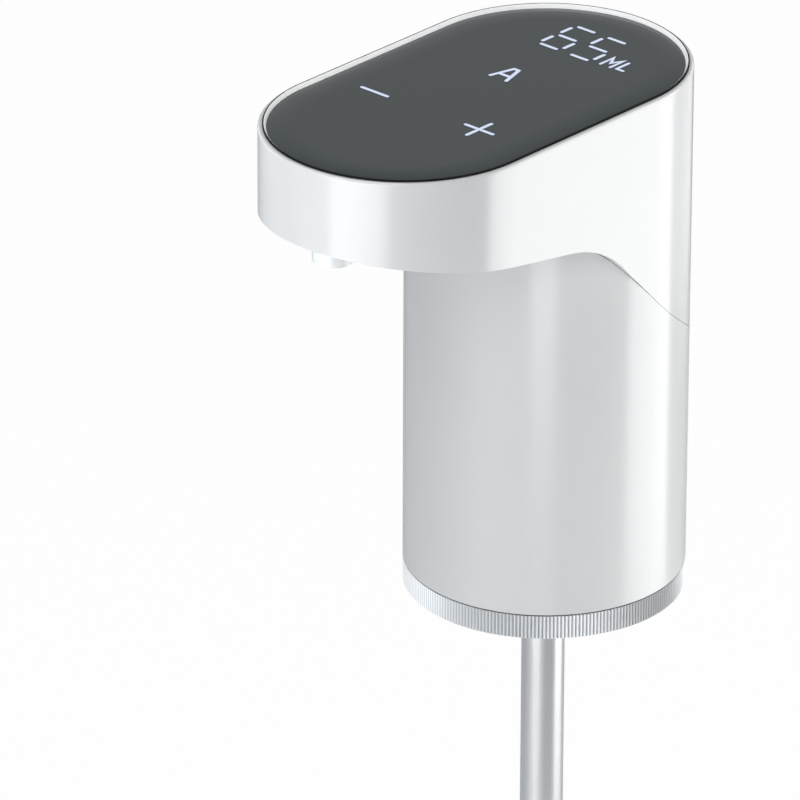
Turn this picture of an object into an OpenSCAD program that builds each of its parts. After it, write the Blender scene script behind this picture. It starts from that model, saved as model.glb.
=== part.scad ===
// Wine aerator pourer for the mouth of a bottle: a head with touch panel and spout, a column that holds
// a gear pump, its motor and a battery, a knurled twist ring at the foot and a telescoping intake tube.
// Millimetres. z = 0 is where the bottle's lip rests, Z is the column's axis, the spout points to -Y.

/* [Housing] */
// Radius of the column, the ring and both ends of the head
column_r = 26; // [25:0.5:30]
// Distance from the column's axis to the centre of the head's front end
head_reach = 38.4; // [34:0.2:46]
// Height of the top above the bottle's lip
top_z = 81.2; // [80:0.2:90]
// Wall of the hood and of the column
wall_t = 2; // [1.6:0.1:2.4]
// Depth of the head at its front end
front_depth = 15.4; // [15:0.1:17]
// Rounding of the hood's top edge
hood_edge_r = 0.6; // [0.2:0.1:0.8]
// Hairline between the hood and the column
seam_gap = 0.1; // [0.06:0.02:0.3]
// Height of the lip that rises inside the hood
lip_h = 3; // [2:0.5:4]
// Wall of that lip
lip_t = 1.2; // [0.8:0.1:1.4]
// Clearance between the lip and the hood
lip_clear = 0.1; // [0.05:0.05:0.2]

/* [Parting line] */
// Slope of the head's underside in degrees
seam_slope = 9.5; // [8:0.5:11]
// Place of the bend along Y, before the column's axis
bend_y = -14.8; // [-17:0.1:-12]
// Radius of the bend
bend_r = 25; // [15:1:30]
// Slope past the bend in degrees
seam_steep = 46.4; // [42:0.1:48]
// Place along Y where the line flattens again
kink_y = 4.2; // [2:0.1:6]
// Radius of the bend there
kink_r = 60; // [40:5:80]
// Slope at the back in degrees
seam_back = 34.6; // [32:0.1:37]

/* [Touch panel] */
// Width of the white rim round the panel
rim_w = 0.95; // [0.8:0.05:1.4]
// Gap between panel and rim
panel_gap = 0.12; // [0.08:0.02:0.2]
// Thickness of the panel
panel_t = 2; // [1.5:0.1:2.5]
// Width of the panel's rounded edge
panel_edge_w = 6.5; // [4:0.5:7]
// Drop of the panel's rounded edge
panel_edge_h = 0.8; // [0.3:0.1:1]
// Thickness of the tape under the panel
tape_t = 0.2; // [0.1:0.05:0.3]
// Width of the tape
tape_w = 1.9; // [1:0.1:2.2]
// Width of the ledge that carries the panel
ledge_w = 2.6; // [2.4:0.1:3]
// Thickness of the ledge
ledge_t = 1.8; // [1.2:0.1:2.2]

/* [Display] */
// Thickness of the control board
board_t = 1.2; // [0.8:0.2:1.6]
// Height of the space between board and panel
board_drop = 4.6; // [4:0.2:5]
// Gap between the board and the ledge's opening
board_gap = 0.9; // [0.6:0.1:1.2]
// Radius of the touch pads
pad_r = 3; // [2.4:0.2:3.2]
// Distance of the two front pads from their middle
pad_x = 12.3; // [11:0.1:13]
// Place of the pads' middle along X
pad_mid_x = -1; // [-1.2:0.1:0]
// Place of the two front pads along Y
pad_front_y = -31.5; // [-31.5:0.5:-28]
// Place of the rear pad along Y
pad_rear_y = -9.5; // [-11:0.5:-8]
// Place of the digits along X
digit_x = -0.4; // [-1:0.1:1]
// Distance of the digits' middle from the back end
digit_back = 16.4; // [16:0.2:17]
// Height of a digit
digit_h = 11; // [10:0.2:11.4]
// Width of a digit
digit_w = 6; // [5.4:0.2:6.2]
// Distance between the two digits
digit_pitch = 7.3; // [7.2:0.1:8]
// Width of one light slot
slot_w = 0.9; // [0.8:0.1:1.1]
// Wall round the digits
frame_wall = 1.4; // [1:0.2:2]
// Gap between the digit frame and the panel
frame_gap = 0.4; // [0.2:0.1:0.6]
// Height of a light chip
led_h = 0.6; // [0.4:0.1:0.8]
// Width of a light chip
led_w = 0.6; // [0.4:0.1:0.7]
// Distance of the board posts from the middle
board_post_x = 15; // [14:0.5:16]
// Distance of the board posts behind the centre of the front end
board_post_inset = 2.4; // [2:0.1:3]
// Radius of the board posts
board_post_r = 2.4; // [2.2:0.1:2.6]
// Width of the ribs under the board
rib_w = 2; // [1.6:0.1:2.4]
// Height of the ribs
rib_h = 8; // [7:0.5:8]
// Reach of a rib under the board
rib_hold = 0.8; // [0.6:0.1:1]

/* [Spout] */
// Distance between the spout's axis and the inside of the front wall
spout_front = 5.4; // [5:0.2:8]
// Outer radius of the spout
spout_r = 3.7; // [3.4:0.1:4]
// Wall of the spout
spout_wall = 0.8; // [0.6:0.1:1]
// Length that shows below the head
spout_drop = 3.5; // [2.5:0.1:4.5]
// Thickness of the floor of the head
floor_t = 2; // [1.6:0.1:2.2]
// Height of the flat seat above the floor's underside at the spout
seat_h = 2.5; // [2.4:0.1:2.8]
// Distance of the two spout screws from the axis
spout_screw_x = 7.2; // [6.8:0.1:8]
// Thickness of the spout's flange
flange_t = 1.4; // [1:0.1:1.6]
// Height of the spout's body above the seal
spout_body_h = 5; // [5:0.1:5.2]
// Radius of the spout's body
spout_body_r = 4.4; // [4.2:0.1:4.6]
// Thickness of the spout seal
spout_seal_t = 0.6; // [0.4:0.1:0.8]
// Thickness of the aerator insert
insert_t = 2.4; // [1.6:0.2:3]
// Recess of the insert from the spout's mouth
insert_recess = 0.6; // [0.4:0.1:1]
// Radius of a hole in the insert
insert_hole_r = 0.5; // [0.3:0.05:0.6]
// Number of holes round the middle one
insert_holes = 6; // [5:1:6]

/* [Hoses] */
// Outer radius of the delivery hose
hose_r = 2.9; // [2.7:0.1:3]
// Bore radius of the hoses, which is the outer radius of each nipple
nipple_r = 1.9; // [1.7:0.1:2]
// Bore radius of the nipples
nipple_bore_r = 1.2; // [1:0.1:1.3]
// Length of a nipple
nipple_l = 4.5; // [4:0.1:5]
// Bend radius at the pump
low_bend_r = 3.4; // [3:0.1:3.6]
// Bend radius in the head
high_bend_r = 6; // [5:0.5:7]
// Wall of the suction coupling
coupling_wall = 1.5; // [1:0.1:2]
// Gap between the end of a hose and the wall behind it
hose_end_gap = 0.3; // [0.2:0.1:0.5]

/* [Gear pump] */
// Pitch radius of the two gears as a share of the deck's radius
gear_share = 0.223; // [0.216:0.001:0.227]
// Teeth of each gear
gear_n = 10; // [10:1:10]
// Pressure angle of the teeth
gear_angle = 28; // [26:1:30]
// Height of a tooth above the pitch circle as a share of the module
tooth_top_share = 0.8; // [0.7:0.05:0.85]
// Depth of a tooth below the pitch circle as a share of the module
tooth_root_share = 1.05; // [1:0.05:1.1]
// Angle taken off each flank for backlash, in degrees
tooth_backlash = 0.9; // [0.6:0.1:1.4]
// Length of the gears
gear_l = 8; // [6:0.5:8.5]
// Running clearance of shafts, gears and chamber
run_clear = 0.05; // [0.04:0.01:0.08]
// Radial clearance of the gears in the chamber
chamber_clear = 0.1; // [0.08:0.01:0.1]
// Wall of the pump body
pump_wall = 2.4; // [2.2:0.1:2.6]
// Floor of the pump body
pump_floor = 2.5; // [2.2:0.1:3]
// Thickness of the pump cover
pump_cover_t = 2.5; // [2.2:0.1:3]
// Distance of a port from the line between the gears as a share of their pitch radius
port_share = 1.1; // [1.08:0.01:1.14]
// Radius of the shaft and of the axle
shaft_r = 1; // [0.8:0.1:1.2]
// Depth that the shaft and the axle stand in the floor
shaft_seat = 1.5; // [1.2:0.1:1.8]
// Outer radius of the shaft seal
shaft_seal_r = 2.6; // [2.2:0.1:2.8]
// Height of the shaft seal
shaft_seal_h = 2; // [1.6:0.1:2]
// Radius of the ears for the pump screws
pump_ear_r = 2.6; // [2.4:0.1:2.7]
// Radius of the motor as a share of the deck's radius
motor_share = 0.49; // [0.45:0.005:0.505]
// Length of the motor
motor_l = 31; // [28:0.5:33]
// Radius of the motor's boss
motor_boss_r = 3.1; // [3:0.1:3.6]
// Height of the motor's terminals
terminal_h = 2; // [1.5:0.1:2.5]

/* [Inner frame] */
// Thickness of the deck
deck_t = 2.5; // [2:0.1:3]
// Gap between the deck and the lip of the column
deck_gap = 0.3; // [0.2:0.1:0.5]
// Radius of the posts as a share of the deck's radius
post_share = 0.118; // [0.107:0.001:0.12]
// Angle of the front posts below the X axis
post_front_a = 45; // [43:1:48]
// Angle of the back posts above the X axis
post_back_a = 35; // [32:1:37]
// Wall of the motor cup and the battery cup
cup_wall = 1.2; // [1:0.1:1.3]
// Height of the motor cup
motor_cup_h = 13; // [8:0.5:20]
// Clearance round the battery
battery_clear = 0.2; // [0.1:0.05:0.3]
// Radius of the battery cell as a share of the deck's radius
battery_share = 0.312; // [0.29:0.002:0.32]
// Length of the battery cell
battery_l = 50; // [46:0.5:52]
// Place of the battery across the column
battery_x = 4; // [3:0.5:5]
// Thickness of the floor of the battery cup
battery_floor = 2; // [1.5:0.1:2.5]
// Radius of the towers that carry the hood
tower_r = 2.6; // [2.4:0.1:2.7]
// Angle of the towers above the X axis
tower_a = 22; // [18:1:24]
// Thickness of the hood's ears on the towers
ear_t = 2.5; // [2:0.1:3]

/* [Foot] */
// Thickness of the bulkhead over the bottle's mouth
bulkhead_t = 2.5; // [2:0.1:3]
// Distance from the bulkhead to the pump
pump_lift = 11.5; // [11:0.1:12.5]
// Depth of the socket for the bottle's neck
socket_depth = 22; // [20:0.5:26]
// Radius of the socket
socket_r = 15.6; // [15.4:0.1:16]
// Wall of the socket
socket_wall = 1.9; // [1.7:0.1:2.2]
// Height of the socket's end above the ring's underside
socket_rise = 0.6; // [0.4:0.1:1]
// Inner radius of the neck seal
neck_seal_r = 14.9; // [14.6:0.1:15.1]
// Height of the neck seal
neck_seal_h = 3; // [2:0.5:3.5]
// Depth of the neck seal's groove
groove_d = 1; // [0.7:0.1:1.1]
// Height of the knurled ring
ring_h = 4.5; // [4:0.1:5.5]
// Gap between the ring and the column
ring_gap = 0.3; // [0.2:0.05:0.4]
// Number of ribs on the ring
knurl_n = 240; // [180:10:280]
// Depth of the ribs
knurl_d = 0.25; // [0.15:0.05:0.3]
// Thickness of the ring's plate
ring_plate_t = 2.5; // [2:0.1:3]
// Clearance between the ring and the socket
ring_clear = 0.4; // [0.3:0.05:0.5]
// Reach of the bayonet lugs as a share of the room between socket and column
lug_share = 0.345; // [0.3:0.005:0.37]
// Height of the lugs and of the tabs under them
lug_h = 2; // [1.6:0.1:2.2]
// Width of a lug in degrees
lug_a = 30; // [26:1:32]
// Number of lugs
lug_n = 3; // [3:1:3]
// Turn of the ring from locked to free in degrees
ring_turn = 40; // [38:1:44]
// Gap between a lug and its stop in degrees
stop_gap = 1.5; // [1:0.5:2]
// Width of a stop in degrees
stop_a = 5; // [4:1:8]
// Wall of the ring's sleeve as a share of the same room
sleeve_share = 0.26; // [0.22:0.005:0.3]
// Height of the lugs' top below the bulkhead
lug_drop = 9.7; // [9:0.1:11]

/* [Stopper and tube] */
// Radius of the stopper in the bottle's mouth
stopper_r = 9.2; // [9:0.1:9.4]
// Length of the stopper in the mouth
stopper_l = 16; // [12:0.5:17]
// Length of the stopper's tapered tip
stopper_tip = 3; // [2:0.5:3.5]
// Thickness of the stopper's flange
lip_pad_t = 2; // [1.5:0.1:2.5]
// Gap between the stopper's flange and the socket
lip_pad_gap = 0.3; // [0.2:0.05:0.4]
// Radius of the intake tube
tube_r = 4; // [3.8:0.1:4.1]
// Wall of both tubes
tube_wall = 0.6; // [0.5:0.05:0.65]
// Sliding clearance between the tubes
tube_clear = 0.1; // [0.06:0.01:0.1]
// Length of the intake tube
tube_l = 150; // [120:1:160]
// Travel of the inner tube
tube_travel = 110; // [80:1:115]
// Overlap of the tubes that stays at full travel
tube_overlap = 20; // [15:1:24]
// Wall of the stem round the tube
stem_wall = 1; // [0.8:0.05:1.1]
// Length of the stem that holds the tube
stem_l = 20; // [19:0.5:22]
// Radius of the stem's flange on the bulkhead
stem_flange_r = 5.8; // [5.6:0.1:5.9]
// Thickness of the stem's flange
stem_flange_t = 1.5; // [1:0.1:1.8]
// Distance of the air vent from the axis
vent_x = 7.3; // [7.2:0.05:7.5]
// Radius of the air vent
vent_r = 0.7; // [0.5:0.05:0.8]
// Radius of the vent valve
valve_r = 1.3; // [1.1:0.05:1.35]
// Height of the vent valve
valve_h = 3.5; // [3:0.1:4]
// Length of the gland on the tube's end
gland_l = 9; // [8:0.5:12]
// Wall of the gland
gland_wall = 1.2; // [1:0.1:1.6]
// Length of the gland below the tube's end
gland_nose = 4; // [3.4:0.1:5]
// Height of the seal in the gland
gland_seal_h = 1.6; // [1.2:0.1:1.8]
// Length of the strainer
strainer_l = 8; // [7:0.5:12]
// Gap between the strainer and the gland
strainer_gap = 3; // [2:0.5:4]
// Number of notches in the strainer
notch_n = 4; // [4:1:6]
// Width of a notch
notch_w = 1.6; // [1.2:0.1:2]

/* [Charging] */
// Width of the charge board
charge_w = 18; // [16:0.5:18]
// Length of the charge board
charge_l = 11; // [10:0.5:11.5]
// Thickness of the charge board
charge_t = 1.2; // [0.8:0.1:1.4]
// Height of the rails under the charge board
rail_h = 2.6; // [2.4:0.1:3]
// Width of a rail
rail_w = 2; // [1.5:0.1:2.5]
// Width of the port
usb_w = 9; // [8.8:0.1:9.2]
// Height of the port
usb_h = 3.2; // [3:0.1:3.4]
// Length of the port
usb_l = 7.6; // [7:0.1:8]
// Wall of the port
usb_wall = 0.35; // [0.3:0.05:0.4]
// Recess of the port in the column
usb_recess = 0.8; // [0.5:0.1:1]
// Gap round the port in the column
usb_gap = 0.3; // [0.2:0.05:0.4]
// Thickness of the port's tongue
tongue_t = 0.7; // [0.6:0.05:0.8]

/* [Fasteners and wires] */
// Radius of the screws
screw_r = 0.9; // [0.8:0.05:1]
// Radius of the screw heads
head_r = 1.8; // [1.6:0.1:1.9]
// Height of the screw heads
head_h = 1.4; // [1:0.1:1.5]
// Length that a screw bites
bite_l = 9; // [7:0.5:10]
// Radius of the wires
wire_r = 0.7; // [0.5:0.05:0.8]
// Gap round a wire where it passes the deck
wire_gap = 0.6; // [0.4:0.1:0.8]

/* [Hidden] */
$fn = 96;
eps = 0.01;
// Rounds a place to a hundredth, so that pieces that meet share one face
function snap(v) = round(v / eps) * eps;
far = 200;
half = 0.5;
edge_step = 15;
panel_step = 5;

// Housing
inner_r = column_r - wall_t;
head_front = head_reach + column_r;
lip_r = inner_r - lip_clear;
lip_in_r = lip_r - lip_t;
lip_root = lip_h + wall_t;

// Parting line in the Y and Z plane, from the front end to the back
function underside(y) = top_z - front_depth - (y + head_front) * tan(seam_slope);
bend_steps = 8;
bend_turn = seam_steep - seam_slope;
bend_start = bend_y - bend_r * tan(bend_turn * half) * cos(seam_slope);
bend_c = [bend_start - bend_r * sin(seam_slope), underside(bend_start) - bend_r * cos(seam_slope)];
function bend_point(i) = bend_c + bend_r * [sin(seam_slope + bend_turn * i / bend_steps),
    cos(seam_slope + bend_turn * i / bend_steps)];
bend_end = bend_point(bend_steps);
kink_z = bend_end[1] - (kink_y - bend_end[0]) * tan(seam_steep);
kink_turn = seam_steep - seam_back;
kink_reach = kink_r * tan(kink_turn * half);
kink_c = [kink_y - kink_reach * cos(seam_steep) + kink_r * sin(seam_steep),
    kink_z + kink_reach * sin(seam_steep) + kink_r * cos(seam_steep)];
function kink_point(i) = kink_c - kink_r * [sin(seam_steep - kink_turn * i / bend_steps),
    cos(seam_steep - kink_turn * i / bend_steps)];
back_y = column_r + wall_t;
back_z = kink_z - (back_y - kink_y) * tan(seam_back);
front_y = -head_front - wall_t;
seam_line = concat([[front_y, underside(front_y)]], [for (i = [0:bend_steps]) bend_point(i)],
    [for (i = [0:bend_steps]) kink_point(i)], [[back_y, back_z]]);
function raised(line, dz) = [for (q = line) [q[0], q[1] + dz]];
hood_low_z = back_z - wall_t;

// Panel and board
panel_r = column_r - rim_w;
panel_z = top_z - panel_t;
digit_y = column_r - digit_back;
ledge_z = panel_z - tape_t;
ledge_low_z = ledge_z - ledge_t;
ledge_r = inner_r + wall_t * half - ledge_w;
board_top_z = panel_z - board_drop;
board_z = board_top_z - board_t;
board_r = ledge_r - board_gap;
board_post_y = board_post_inset - head_reach;
frame_top_z = panel_z - frame_gap;
bar_l = digit_w - slot_w;
upright_l = (digit_h - slot_w) * half;
digits_w = digit_pitch + digit_w;

// Foot
bulkhead_z = lip_pad_t;
bulkhead_top = bulkhead_z + bulkhead_t;
ring_z = -socket_depth;
ring_top = ring_z + ring_h;
column_z = ring_top + ring_gap;
socket_out_r = socket_r + socket_wall;
socket_z = ring_z + socket_rise;
lug_top = bulkhead_z - lug_drop;
lug_z = lug_top - lug_h;
tab_z = lug_z - ring_gap - lug_h;
sleeve_room = inner_r - ring_gap - socket_out_r - ring_clear;
lug_w = snap(sleeve_room * lug_share);
sleeve_wall = snap(sleeve_room * sleeve_share);
sleeve_r = socket_out_r + ring_clear + lug_w;
function lug_mid(i) = 360 * (i + half) / lug_n;
neck_seal_z = ring_z + socket_rise + neck_seal_h;

// Pump stack
deck_r = lip_in_r - deck_gap;
pump_z = bulkhead_top + pump_lift;
pitch_r = snap(deck_r * gear_share);
gear_m = 2 * pitch_r / gear_n;
gear_x = pitch_r;
gear_top_r = pitch_r + gear_m * tooth_top_share;
gear_root_r = pitch_r - gear_m * tooth_root_share;
chamber_r = gear_top_r + chamber_clear;
pump_r = chamber_r + pump_wall;
pump_y = snap(-port_share * pitch_r);
chamber_z = pump_z + pump_floor;
cover_z = chamber_z + gear_l;
deck_z = cover_z + pump_cover_t;
deck_top = deck_z + deck_t;
motor_r = snap(deck_r * motor_share);
motor_top = deck_top + motor_l;
port_z = snap(chamber_z + gear_l * half);
pump_ear_x = gear_x + pump_r + pump_ear_r - wall_t * half;

// Hoses
hose_y = snap(deck_gap + hose_r - lip_in_r);
hose_start_y = snap(pump_y - pump_r - hose_end_gap);
spout_y = -head_reach - inner_r + spout_front;
spout_seat_z = snap(underside(spout_y) + seat_h);
spout_body_z = spout_seat_z + spout_seal_t;
spout_top_z = spout_body_z + spout_body_h;
hose_z = snap(spout_body_z + spout_body_h * half);
hose_end_y = snap(spout_y + spout_body_r + hose_end_gap);
pump_nipple_l = hose_start_y - hose_y - low_bend_r;
insert_r = spout_r - spout_wall;
spout_low_z = underside(spout_y) - spout_drop;

// Frame
post_r = snap(deck_r * post_share);
post_d = deck_r - post_r - deck_gap;
battery_r = snap(deck_r * battery_share);
battery_cup_r = battery_r + battery_clear + cup_wall;
battery_d = deck_r - battery_cup_r - deck_gap;
battery_y = sqrt(battery_d * battery_d - battery_x * battery_x);
battery_z = bulkhead_top + rail_h + charge_t + usb_h + wall_t + battery_floor;
battery_top = battery_z + battery_l;
tower_d = deck_r - tower_r - deck_gap;
tower_x = tower_d * cos(tower_a);
tower_y = tower_d * sin(tower_a);
tower_top = board_z - head_h - ear_t - frame_gap;
charge_x = -charge_w * half + rail_w;

// Tubes
stem_r = tube_r + stem_wall;
tube_top = -wall_t * half;
tube_end = tube_top - tube_l;
gland_r = tube_r + gland_wall;
gland_z = tube_end - gland_nose;
slide_r = tube_r - tube_wall - tube_clear;
gland_seal_z = tube_end - gland_seal_h;
strainer_top = gland_z - strainer_gap;
strainer_z = strainer_top - strainer_l;
inner_top = tube_end + tube_travel + tube_overlap;

// Charging
charge_z = bulkhead_top + rail_h;
rail_x = charge_w * half - rail_w;
usb_z = charge_z + charge_t;
usb_end_y = column_r - usb_recess;
charge_end_y = sqrt(deck_r * deck_r - charge_w * charge_w * half * half) - wall_t * half;

module below_seam(dz) {
    rotate([90, 0, 90])
        translate([0, 0, -far * half])
            linear_extrude(far)
                polygon(concat([[front_y, -far]], raised(seam_line, dz), [[back_y, -far]]));
}

module above_seam(dz) {
    rotate([90, 0, 90])
        translate([0, 0, -far * half])
            linear_extrude(far)
                polygon(concat([[front_y, far]], raised(seam_line, dz), [[back_y, far]]));
}

// Sweeps a half profile round both ends of the head and along its sides
module along_head() {
    rotate_extrude() children();
    translate([0, -head_reach, 0])
        rotate_extrude() children();
    rotate([90, 0, 0])
        linear_extrude(head_reach)
            union() {
                children();
                mirror([1, 0]) children();
            }
}

module plain_profile(r, z0, z1) {
    translate([0, z0])
        square([r, z1 - z0]);
}

module rounded_profile(r, z0, z1, w, h, step) {
    polygon(concat([[0, z0], [r, z0]],
        [for (a = [0:step:90]) [r - w + w * cos(a), z1 - h + h * sin(a)]], [[0, z1]]));
}

module tube(r_in, r_out, z0, z1) {
    translate([0, 0, z0])
        difference() {
            cylinder(r = r_out, h = z1 - z0);
            translate([0, 0, -eps]) cylinder(r = r_in, h = z1 - z0 + 2 * eps);
        }
}

module rod(r, z0, z1) {
    translate([0, 0, z0])
        cylinder(r = r, h = z1 - z0);
}

// Piece of a ring between two radii, centred on the given angle
module arc_block(r_in, r_out, z0, z1, mid, width) {
    rotate([0, 0, mid - width * half])
        translate([0, 0, z0])
            rotate_extrude(angle = width)
                translate([r_in, 0])
                    square([r_out - r_in, z1 - z0]);
}

module at_posts() {
    for (s = [-1, 1]) {
        translate([s * post_d * cos(post_front_a), -post_d * sin(post_front_a), 0]) children();
        translate([s * post_d * cos(post_back_a), post_d * sin(post_back_a), 0]) children();
    }
}

module at_towers() {
    for (s = [-1, 1])
        translate([s * tower_x, tower_y, 0]) children();
}

module at_board_posts() {
    for (s = [-1, 1])
        translate([s * board_post_x, board_post_y, 0]) children();
}

module at_pads() {
    for (s = [-1, 1])
        translate([pad_mid_x + s * pad_x, pad_front_y, 0]) children();
    translate([pad_mid_x, pad_rear_y, 0]) children();
}

module screw(head_z, tip_z) {
    rod(screw_r, min(head_z, tip_z), max(head_z, tip_z));
    rod(head_r, head_z - (tip_z > head_z ? head_h : 0), head_z + (tip_z > head_z ? 0 : head_h));
}

// Upper shell: the head, its floor and the back of the column down to the parting line
module hood() {
    color("white")
        difference() {
            union() {
                difference() {
                    intersection() {
                        along_head()
                            rounded_profile(column_r, hood_low_z, top_z, hood_edge_r, hood_edge_r, edge_step);
                        above_seam(0);
                    }
                    intersection() {
                        along_head() plain_profile(inner_r, hood_low_z, ledge_low_z);
                        above_seam(floor_t);
                    }
                    rod(inner_r, hood_low_z - wall_t, ledge_low_z);
                }
                hood_inside();
            }
            along_head() plain_profile(ledge_r, ledge_low_z - eps, ledge_z + eps);
            along_head() plain_profile(panel_r + panel_gap, ledge_z, top_z + eps);
            translate([0, spout_y, 0]) {
                rod(spout_r + panel_gap, spout_low_z, spout_seat_z + eps);
                rod(spout_body_r + panel_gap, spout_seat_z, spout_top_z);
                translate([0, 0, spout_seat_z])
                    linear_extrude(spout_body_h)
                        slot_outline(2 * (spout_screw_x + head_r + panel_gap), 2 * (head_r + panel_gap));
            }
            for (s = [-1, 1])
                translate([s * spout_screw_x, spout_y, 0])
                    rod(screw_r, spout_seat_z - floor_t, spout_seat_z + eps);
            at_board_posts()
                rod(screw_r, board_z - rib_h, board_z + eps);
            at_towers()
                rod(screw_r, tower_top - eps, tower_top + ear_t + eps);
        }
}

// Spout seat, board posts, board ribs and the ears on the towers
module hood_inside() {
    intersection() {
        along_head() plain_profile(inner_r + eps, hood_low_z, ledge_low_z);
        above_seam(eps);
        union() {
            translate([0, spout_y, 0]) {
                for (s = [-1, 1])
                    translate([s * spout_screw_x, 0, 0])
                        rod(head_r + wall_t * half, hood_low_z, spout_seat_z);
                translate([-spout_screw_x, -head_r - wall_t * half, hood_low_z])
                    cube([2 * spout_screw_x, 2 * head_r + wall_t, spout_seat_z - hood_low_z]);
                rod(spout_body_r + wall_t, hood_low_z, spout_seat_z);
            }
            at_board_posts()
                rod(board_post_r, hood_low_z, board_z);
        }
    }
    for (s = [0, 1], y = [0, -head_reach * half, -head_reach])
        mirror([s, 0, 0])
            translate([board_r - rib_hold, y - rib_w * half, board_z - rib_h])
                cube([inner_r + wall_t * half - board_r + rib_hold, rib_w, rib_h]);
    intersection() {
        rod(inner_r + wall_t * half, tower_top, tower_top + ear_t);
        union() {
            at_towers()
                rod(tower_r, tower_top, tower_top + ear_t);
            for (s = [0, 1])
                mirror([s, 0, 0])
                    translate([tower_x, tower_y - tower_r, tower_top])
                        cube([column_r - tower_x, 2 * tower_r, ear_t]);
        }
    }
}

// Lower shell: column, lip inside the hood, bulkhead with rails for the charge board
module column_shell() {
    color("white")
        difference() {
            union() {
                intersection() {
                    tube(inner_r, column_r, column_z, top_z);
                    below_seam(-seam_gap);
                }
                intersection() {
                    tube(lip_in_r, lip_r, column_z, top_z);
                    lip_band(lip_h);
                }
                intersection() {
                    tube(lip_in_r, inner_r + wall_t * half, column_z, top_z);
                    lip_band(-seam_gap);
                }
                rod(inner_r + wall_t * half, bulkhead_z, bulkhead_top);
                for (s = [-1, 1])
                    translate([s * rail_x - rail_w * half, charge_end_y - charge_l, bulkhead_z])
                        cube([rail_w, charge_l, bulkhead_t + rail_h]);
            }
            rod(stem_r, bulkhead_z - eps, bulkhead_top + eps);
            translate([vent_x, 0, 0])
                rod(vent_r, bulkhead_z - eps, bulkhead_top + eps);
            at_posts()
                rod(screw_r, bulkhead_z - eps, bulkhead_top + eps);
            translate([0, column_r + wall_t, usb_z + usb_h * half])
                rotate([90, 0, 0])
                    linear_extrude(2 * wall_t + usb_recess)
                        slot_outline(usb_w + 2 * usb_gap, usb_h + 2 * usb_gap);
        }
}

module lip_band(dz) {
    difference() {
        below_seam(dz);
        below_seam(-lip_root);
    }
}

// Flat oval that lies along X
module slot_outline(w, h) {
    for (s = [-1, 1])
        translate([s * (w - h) * half, 0]) circle(h * half);
    square([w - h, h], center = true);
}

module touch_panel() {
    color("dimgray")
        along_head() rounded_profile(panel_r, panel_z, top_z, panel_edge_w, panel_edge_h, panel_step);
}

module panel_tape() {
    color("black")
        difference() {
            along_head() plain_profile(ledge_r + tape_w, ledge_z, panel_z);
            along_head() plain_profile(ledge_r, ledge_z - eps, panel_z + eps);
        }
}

module control_board() {
    color("darkgreen")
        difference() {
            along_head() plain_profile(board_r, board_z, board_top_z);
            at_board_posts()
                rod(screw_r, board_z - eps, board_top_z + eps);
        }
}

// Seven places of a digit: middle bar, outer bars and the four uprights
module at_segments() {
    for (d = [-1, 1])
        translate([digit_x + d * digit_pitch * half, digit_y, 0]) {
            for (k = [-1, 0, 1])
                translate([0, k * upright_l, 0]) children(0);
            for (s = [-1, 1], k = [-1, 1])
                translate([s * bar_l * half, k * upright_l * half, 0]) children(1);
        }
}

// White frame that leads the light of each chip to its segment
module digit_frame() {
    color("ivory")
        difference() {
            translate([digit_x - digits_w * half - frame_wall,
                digit_y - digit_h * half - frame_wall, board_top_z])
                cube([digits_w + 2 * frame_wall, digit_h + 2 * frame_wall, frame_top_z - board_top_z]);
            at_segments() {
                translate([0, 0, (board_top_z + frame_top_z) * half])
                    cube([bar_l - 2 * slot_w, slot_w, board_drop], center = true);
                translate([0, 0, (board_top_z + frame_top_z) * half])
                    cube([slot_w, upright_l - slot_w, board_drop], center = true);
            }
        }
}

module display_leds() {
    color("lightyellow")
        at_segments() {
            translate([0, 0, board_top_z + led_h * half]) cube([2 * led_w, led_w, led_h], center = true);
            translate([0, 0, board_top_z + led_h * half]) cube([led_w, 2 * led_w, led_h], center = true);
        }
}

module touch_pads() {
    color("darkslategray")
        at_pads()
            rod(pad_r, board_top_z, panel_z);
}

module board_screws() {
    color("silver")
        at_board_posts()
            screw(board_top_z, board_z - rib_h + wall_t);
}

// Spout with its flange, body and the nipple for the hose
module spout_nozzle() {
    color("whitesmoke")
        translate([0, spout_y, 0])
            difference() {
                union() {
                    rod(spout_r, spout_low_z, spout_body_z + eps);
                    rod(spout_body_r, spout_body_z, spout_top_z);
                    translate([0, 0, spout_body_z])
                        linear_extrude(flange_t)
                            slot_outline(2 * (spout_screw_x + head_r), 2 * head_r);
                    translate([0, 0, hose_z])
                        rotate([-90, 0, 0])
                            rod(nipple_r, 0, spout_body_r + hose_end_gap + nipple_l);
                }
                rod(insert_r, spout_low_z - eps, spout_low_z + insert_recess + insert_t);
                rod(nipple_bore_r, spout_low_z, hose_z);
                translate([0, 0, hose_z])
                    rotate([-90, 0, 0])
                        rod(nipple_bore_r, 0, spout_body_r + hose_end_gap + nipple_l + eps);
                rod(insert_hole_r, hose_z, spout_top_z + eps);
                for (s = [-1, 1])
                    translate([s * spout_screw_x, 0, 0])
                        rod(screw_r, spout_body_z - eps, spout_body_z + flange_t + eps);
            }
}

module spout_seal() {
    color("gray")
        translate([0, spout_y, 0])
            tube(spout_r, spout_body_r, spout_seat_z, spout_body_z);
}

// Perforated plug that breaks up the stream
module aerator_insert() {
    color("silver")
        translate([0, spout_y, spout_low_z + insert_recess])
            difference() {
                cylinder(r = insert_r, h = insert_t);
                rod(insert_hole_r, -eps, insert_t + eps);
                for (i = [0:insert_holes - 1])
                    rotate([0, 0, 360 * i / insert_holes])
                        translate([insert_r - insert_hole_r - spout_wall, 0, 0])
                            rod(insert_hole_r, -eps, insert_t + eps);
            }
}

module spout_screws() {
    color("silver")
        for (s = [-1, 1])
            translate([s * spout_screw_x, spout_y, 0])
                screw(spout_body_z + flange_t, spout_seat_z - floor_t + wall_t * half);
}

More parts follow.
